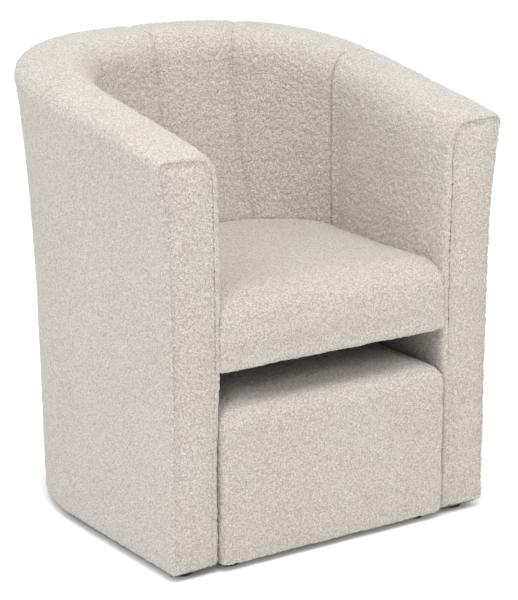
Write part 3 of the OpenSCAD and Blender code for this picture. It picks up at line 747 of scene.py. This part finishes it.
def arm_outline():
    """The seam round the left arm's front in x and z, from its outer foot over the top to the inner."""
    outer = outer_line(0.0)[8:]
    rim = rim_line(0.0)
    wall = inner_line(0.0)
    bay = inner_point(np.zeros(40), np.linspace(SEAT_UNDER, FOOT_Z + HEM_R, 40))
    line = np.vstack([outer, rim[1:], wall[1:], bay[1:]])
    line = resampled(line, int(SEAM_LENGTH / GRAIN))
    normal = line_normals(line)
    return line[:, [0, 2]] + normal * (seam_reach(line) + GROOVE)


def inside(points, outline):
    """Whether each point lies in the closed outline."""
    found = np.zeros(len(points), bool)
    for a, b in zip(outline, np.roll(outline, -1, axis=0)):
        crosses = (a[1] > points[:, 1]) != (b[1] > points[:, 1])
        with np.errstate(divide="ignore", invalid="ignore"):
            at = (b[0] - a[0]) * (points[:, 1] - a[1]) / (b[1] - a[1]) + a[0]
        found ^= crosses & (points[:, 0] < at)
    return found


def distance_to(points, line):
    """Distance of each point from an open line."""
    best = np.full(len(points), 1e9)
    for a, b in zip(line[:-1], line[1:]):
        d = b - a
        t = np.clip(((points - a) @ d) / (d @ d), 0, 1)
        best = np.minimum(best, np.linalg.norm(points - a - t[:, None] * d, axis=1))
    return best


def arm_front(side, sign):
    """The panel on the front of one arm. sign is -1 on the left and 1 on the right."""
    seam = arm_outline()
    foot = np.array([[seam[-1, 0], FOOT_Z], [seam[0, 0], FOOT_Z]])
    count = int((foot[0, 0] - foot[1, 0]) / GRAIN)
    sill = lerp(foot[0], foot[1], np.linspace(0, 1, count)[:, None])
    thirds = np.linspace(0, 1, 4)[:, None]
    down, up = lerp(seam[-1], sill[0], thirds), lerp(sill[-1], seam[0], thirds)
    ring = np.vstack([seam, down[1:], sill[1:], up[1:-1]])
    low, high = ring.min(0), ring.max(0)
    xs = np.arange(low[0], high[0], GRAIN)
    zs = np.arange(low[1], high[1], GRAIN * 0.87)
    lattice = np.array([[x + GRAIN / 2 * (k % 2), z] for k, z in enumerate(zs) for x in xs])
    lattice = lattice[inside(lattice, ring)]
    lattice = lattice[distance_to(lattice, np.vstack([ring, ring[:1]])) > GRAIN * 0.6]
    flat = np.vstack([ring, lattice])
    edges = [(k, (k + 1) % len(ring)) for k in range(len(ring))]
    made = delaunay_2d_cdt([Vector(p) for p in flat], edges, [], 1, 1e-7)
    points = np.array([list(p) for p in made[0]])
    faces = [list(f) for f in made[2]]
    line = np.vstack([foot[1:], seam, foot[:1]])
    d = distance_to(points, line)
    above = points[:, 1] - FOOT_Z
    groove = GROOVE * (1 - np.sqrt(np.clip(1 - (1 - np.minimum(d / GROOVE, 1)) ** 2, 0, 1)))
    under = HEM_R * (1 - np.sqrt(np.clip(1 - (1 - np.minimum(above / HEM_R, 1)) ** 2, 0, 1)))
    crown = FRONT_CROWN * smooth(0.0, CROWN_FROM_SEAM, d) * smooth(0.0, CROWN_FROM_FOOT, above)
    valley = VALLEY * np.exp(-((d - VALLEY_AT) / VALLEY_WIDTH) ** 2)
    y = groove + under - crown + valley
    shape = np.stack([sign * -points[:, 0], y, points[:, 1]], -1)
    if sign > 0:
        faces = [f[::-1] for f in faces]
    # the flange that spreads under the side covers and runs back into the seam
    start, count = len(shape), len(ring)
    ahead = np.roll(ring, -1, axis=0) - np.roll(ring, 1, axis=0)
    away = np.stack([sign * ahead[:, 1], 0 * ahead[:, 0], ahead[:, 0]], -1)
    away = away / np.linalg.norm(away, axis=1)[:, None]
    near = shape[:count] + away * FLANGE + [0, FLANGE, 0]
    shape = np.vstack([shape, near, near * [1, 0, 1] + [0, TUCK_Y, 0]])
    for k in range(count):
        n = (k + 1) % count
        for a, b in ((0, start), (start, start + count)):
            quad = [a + k, b + k, b + n, a + n]
            faces.append(quad if sign < 0 else quad[::-1])
    obj = piece(f"arm_front_cover_{side}_fabric", shape, faces, "chair", BOUCLE)
    nubby(obj)
    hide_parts(f"arm_front_cover_{side}", f"arm_front_pad_{side}")
    return obj


# ---------- seat and ottoman ----------

def plan_ring(half, depth, front, corner, count):
    """A closed U-shaped plan: straight front with round corners, straight sides and a curved back."""
    i = np.linspace(0, LAST_STEP, count)
    x, y = plan_point(i, half, depth, front=front + corner)
    side = np.stack([x, y], -1)
    t = np.linspace(0, math.pi / 2, 8)[1:]
    right = np.stack([half - corner + corner * np.cos(t), front + corner - corner * np.sin(t)], -1)
    return np.vstack([side, right, (right * [-1, 1])[::-1]])


def box_ring(half, front, back, corner):
    """A closed rectangular plan with round corners."""
    t = np.linspace(0, math.pi / 2, 8)
    turn = np.stack([np.cos(t), np.sin(t)], -1) * corner
    first = turn + [half - corner, back - corner]
    ring = [first, (first * [-1, 1])[::-1]]
    second = turn * [1, -1] + [half - corner, front + corner]
    ring += [second * [-1, 1], second[::-1]]
    return np.vstack(ring)


def loft(rings, name):
    """A closed mesh through rings of points, capped at both ends."""
    count = len(rings[0])
    mesh = bmesh.new()
    loops = [[mesh.verts.new(p) for p in ring] for ring in rings]
    for low, high in zip(loops[:-1], loops[1:]):
        for k in range(count):
            n = (k + 1) % count
            mesh.faces.new([low[k], low[n], high[n], high[k]])
    mesh.faces.new(loops[0][::-1])
    mesh.faces.new(loops[-1])
    bmesh.ops.recalc_face_normals(mesh, faces=mesh.faces)
    bmesh.ops.triangulate(mesh, faces=mesh.faces)
    data = bpy.data.meshes.new(name)
    mesh.to_mesh(data)
    mesh.free()
    return new_object(name, data)


def vectors_of(source, key):
    """The vectors that a mesh keeps under key, as rows of an array."""
    values = np.zeros(len(source) * 3, np.float32)
    source.foreach_get(key, values)
    return values.reshape(-1, 3).astype(float)


def swell_as_cloth(obj):
    """Puffs obj up by the pressure inside it, as a piece of cloth without weight."""
    cloth = obj.modifiers.new("cloth", "CLOTH")
    settings = cloth.settings
    settings.quality = 5
    settings.mass = 0.4
    settings.tension_stiffness = 12
    settings.compression_stiffness = 12
    settings.shear_stiffness = 6
    settings.bending_stiffness = 2
    settings.use_pressure = True
    settings.uniform_pressure_force = PRESSURE
    settings.effector_weights.gravity = 0
    cloth.collision_settings.use_collision = False
    scene = bpy.context.scene
    for number in range(1, CLOTH_FRAMES + 1):
        scene.frame_set(number)
    apply_modifiers(obj)
    scene.frame_set(1)


def inflate(obj, voxel, cap, limits):
    """Remeshes obj evenly and swells it as cloth, outwards only and by no more than cap.
    limits(now, rest) keeps the points within bounds."""
    remesh = obj.modifiers.new("even", "REMESH")
    remesh.mode = "VOXEL"
    remesh.voxel_size = voxel
    apply_modifiers(obj)
    rest = vectors_of(obj.data.vertices, "co")
    normals = vectors_of(obj.data.vertex_normals, "vector")
    count = len(rest)
    edges = np.zeros(len(obj.data.edges) * 2, np.int32)
    obj.data.edges.foreach_get("vertices", edges)
    edges = edges.reshape(-1, 2)
    valence = np.bincount(edges.ravel(), minlength=count)
    swell_as_cloth(obj)
    now = vectors_of(obj.data.vertices, "co")
    swell = np.clip(np.sum((now - rest) * normals, axis=1), 0, cap)
    for _ in range(SMOOTHINGS):
        total = np.zeros(count)
        np.add.at(total, edges[:, 0], swell[edges[:, 1]])
        np.add.at(total, edges[:, 1], swell[edges[:, 0]])
        swell = 0.5 * swell + 0.5 * total / valence
    now = limits(rest + normals * swell[:, None], rest)
    obj.data.vertices.foreach_set("co", now.astype(np.float32).ravel())
    obj.data.update()


def clear_of(obj, gap, *nodes):
    """Moves points that lie inside these CAD pieces, or within gap of them, out along their own normals."""
    for name in nodes:
        node = frame["nodes"][name]
        corners = [node.matrix_world @ v.co for v in node.data.vertices]
        tree = BVHTree.FromPolygons(corners, [list(f.vertices) for f in node.data.polygons])
        normals = [v.normal.copy() for v in obj.data.vertices]
        for vertex, normal in zip(obj.data.vertices, normals):
            # the way out of the piece, or else its surface just behind the point
            at, faced, _, _ = tree.ray_cast(vertex.co, normal, CLEAR_REACH)
            if at is None or faced.dot(normal) < 0:
                at, faced, _, _ = tree.ray_cast(vertex.co, -normal, gap)
            if at is not None and faced.dot(normal) > 0:
                vertex.co = at + normal * gap
        obj.data.update()


def drop_underside(obj, low, hem):
    """Opens the underside inside a hem, so that the dust cover shows."""
    mesh = bmesh.new()
    mesh.from_mesh(obj.data)
    mesh.normal_update()
    edge = [v.co for v in mesh.verts]
    reach = max(abs(p.x) for p in edge) - hem
    front, back = min(p.y for p in edge) + hem, max(p.y for p in edge) - hem

    def hidden(face):
        c = face.calc_center_median()
        level = face.normal.z < -0.9 and c.z < low + 0.01
        return level and abs(c.x) < reach and front < c.y < back

    bmesh.ops.delete(mesh, geom=[f for f in mesh.faces if hidden(f)], context="FACES")
    mesh.to_mesh(obj.data)
    mesh.free()


def subdivide(obj):
    finer = obj.modifiers.new("finer", "SUBSURF")
    finer.levels = 1
    finer.render_levels = 1
    apply_modifiers(obj)


def seat_cushion():
    """The tight seat: a rounded front edge and a crown that pulls down towards its corners."""
    # lower than the CAD's seat, because the cloth and the pile add to it, and further out at the front
    start, depth, half = -0.002, SEAT_DEPTH - 0.0015, SEAT_HALF + 0.001
    low, high = SEAT_UNDER + 0.001, SEAT_H - 0.003
    rings = []
    steps = np.linspace(0, math.pi / 2, 6)
    for t in steps:
        inset = SEAT_FOOT_R * (1 - math.sin(t))
        rings.append((low + SEAT_FOOT_R * (1 - math.cos(t)), inset, inset))
    for t in steps:
        side = SEAT_SIDE_R * (1 - math.cos(t))
        rings.append((high - SEAT_FRONT_R * (1 - math.sin(t)), side, SEAT_FRONT_R * (1 - math.cos(t))))
    made = []
    for z, side, front in rings:
        corner = lerp(*SEAT_CORNER_R, smooth(SEAT_UNDER, SEAT_H, z))
        plan = plan_ring(half - side, depth - side, start + front, corner, SEAT_POINTS)
        plan = plan + [0, FRONT_Y]
        made.append(np.column_stack([plan, np.full(len(plan), z)]))
    obj = loft(made, "seat_cover_fabric")

    def limits(now, rest):
        # within a few millimetres of the CAD's seat, and still near its foot
        now[:, 0] = np.clip(now[:, 0], -SEAT_HALF - 0.003, SEAT_HALF + 0.003)
        now[:, 2] = np.clip(now[:, 2], SEAT_UNDER, SEAT_H + 0.009)
        now[:, 1] = np.clip(now[:, 1], FRONT_Y - 0.006, FRONT_Y + SEAT_DEPTH + 0.003)
        under = rest[:, 2] < SEAT_UNDER + 0.03
        now[under, 2] = np.maximum(now[under, 2], rest[under, 2] - 0.001)
        return now

    inflate(obj, SEAT_VOXEL, SEAT_SWELL, limits)
    drop_underside(obj, SEAT_UNDER, SEAT_HEM)
    subdivide(obj)
    finish_piece(obj, "chair", BOUCLE)
    nubby(obj)
    clear_of(obj, BOARD_CLEAR, "seat_front_rail", "seat_side_rail_left", "seat_side_rail_right")
    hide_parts("seat_cover", "seat_foam")
    return obj


def ottoman():
    """The boxed ottoman, with soft top edges and a low crown."""
    low, high = OTTOMAN_LOW.z - 0.0015, OTTOMAN_HIGH.z - 0.004
    half = OTTOMAN_HIGH.x
    front, back = OTTOMAN_LOW.y - 0.002, OTTOMAN_HIGH.y
    steps = np.linspace(0, math.pi / 2, 7)
    rings = [(low + OTTOMAN_FOOT_R * (1 - math.cos(t)), OTTOMAN_FOOT_R * (1 - math.sin(t))) for t in steps]
    rings += [(high - OTTOMAN_TOP_R * (1 - math.sin(t)), OTTOMAN_TOP_R * (1 - math.cos(t))) for t in steps]
    made = []
    for z, inset in rings:
        plan = box_ring(half - inset, front + inset, back - inset, OTTOMAN_CORNER_R)
        made.append(np.column_stack([plan, np.full(len(plan), z)]))
    obj = loft(made, "ottoman_cover_fabric")

    def limits(now, rest):
        # hardly wider than the CAD's ottoman, which slides between the walls of its bay
        now[:, 0] = np.clip(now[:, 0], -OTTOMAN_HIGH.x - 0.0005, OTTOMAN_HIGH.x + 0.0005)
        now[:, 1] = np.clip(now[:, 1], OTTOMAN_LOW.y - 0.003, OTTOMAN_HIGH.y + 0.003)
        now[:, 2] = np.clip(now[:, 2], low, OTTOMAN_HIGH.z + 0.006)
        under = rest[:, 2] < low + 0.02
        now[under] = rest[under]
        return now

    inflate(obj, OTTOMAN_VOXEL, OTTOMAN_SWELL, limits)
    drop_underside(obj, low, OTTOMAN_HEM)
    subdivide(obj)
    finish_piece(obj, "ottoman", BOUCLE)
    nubby(obj)
    clear_of(obj, BOARD_CLEAR, "ottoman_base_board", "ottoman_front_board", "ottoman_back_board",
             "ottoman_side_board_left", "ottoman_side_board_right", "ottoman_top_board")
    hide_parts("ottoman_cover", "ottoman_foam")
    return obj


# ---------- studio ----------

CAMERA_AZIMUTH, CAMERA_ELEVATION = 34.05, 15.86
CAMERA_TARGET, CAMERA_DISTANCE = (0.048, -0.0325, 0.334), 3.934
CAMERA_LENS, CAMERA_SENSOR = 140.0, 36.0
LIGHTS_AIM = (0, 0, 0.4)
FLOOR_REACH = 30.0


def add_camera():
    data = bpy.data.cameras.new("camera")
    data.lens = CAMERA_LENS
    data.sensor_width = CAMERA_SENSOR
    camera = new_object("camera", data)
    yaw, pitch = math.radians(CAMERA_AZIMUTH), math.radians(CAMERA_ELEVATION)
    ahead = Vector((math.sin(yaw) * math.cos(pitch), math.cos(yaw) * math.cos(pitch), -math.sin(pitch)))
    camera.location = Vector(CAMERA_TARGET) - ahead * CAMERA_DISTANCE
    camera.rotation_mode = "QUATERNION"
    camera.rotation_quaternion = ahead.to_track_quat("-Z", "Y")
    bpy.context.scene.camera = camera


def area_light(name, place, size, power, colour):
    """A square light that faces the middle of the chair. power is in watts."""
    data = bpy.data.lights.new(name, "AREA")
    data.shape = "SQUARE"
    data.size = size
    data.energy = power
    data.color = colour
    light = new_object(name, data)
    light.location = place
    light.rotation_mode = "QUATERNION"
    light.rotation_quaternion = (Vector(LIGHTS_AIM) - Vector(place)).to_track_quat("-Z", "Y")


def studio():
    """A pale floor, a white sky and three soft lights."""
    scene = bpy.context.scene
    scene.view_settings.view_transform = "Standard"
    world = bpy.data.worlds.new("studio")
    world.use_nodes = True
    world.node_tree.nodes["Background"].inputs["Color"].default_value = (0.99, 0.995, 1, 1)
    world.node_tree.nodes["Background"].inputs["Strength"].default_value = 1.02
    scene.world = world
    area_light("left", (-2.7, -1.0, 2.6), 2.2, 29, (0.91, 0.96, 1.0))
    area_light("front", (2.4, -2.6, 1.6), 2.5, 13, (1.0, 0.93, 0.86))
    area_light("top", (-0.6, -1.2, 3.1), 1.6, 50, (0.96, 0.98, 1.0))
    floor_material, tree, shader = nodes_of("studio_floor", (0.93, 0.93, 0.93), 0.9)
    tones = [(0.0, (0.955, 0.955, 0.955)), (1.0, (0.97, 0.97, 0.97))]
    tone = ramp(tree, noise(tree, coordinates(tree), 0.8, 2.0), tones)
    tree.links.new(tone, shader.inputs["Base Color"])
    mesh = bpy.data.meshes.new("floor")
    corners = [(x * FLOOR_REACH, y * FLOOR_REACH, 0) for x, y in ((-1, -1), (1, -1), (1, 1), (-1, 1))]
    mesh.from_pydata(corners, [], [(0, 1, 2, 3)])
    floor = new_object("floor", mesh)
    floor.data.materials.append(floor_material)


add_camera()
studio()
dress_cad_nodes()
outer_wrap()
panels = ["left_arm", "left_side", "left_back", "right_back", "right_side", "right_arm"]
for number, panel in enumerate(panels):
    inner_panel(number, "inner_cover_" + panel)
bay_lining("bay_lining_left", 0, SIDE_STEPS)
bay_lining("bay_lining_right", LAST_STEP - SIDE_STEPS, LAST_STEP)
arm_front("left", -1)
arm_front("right", 1)
seat_cushion()
ottoman()
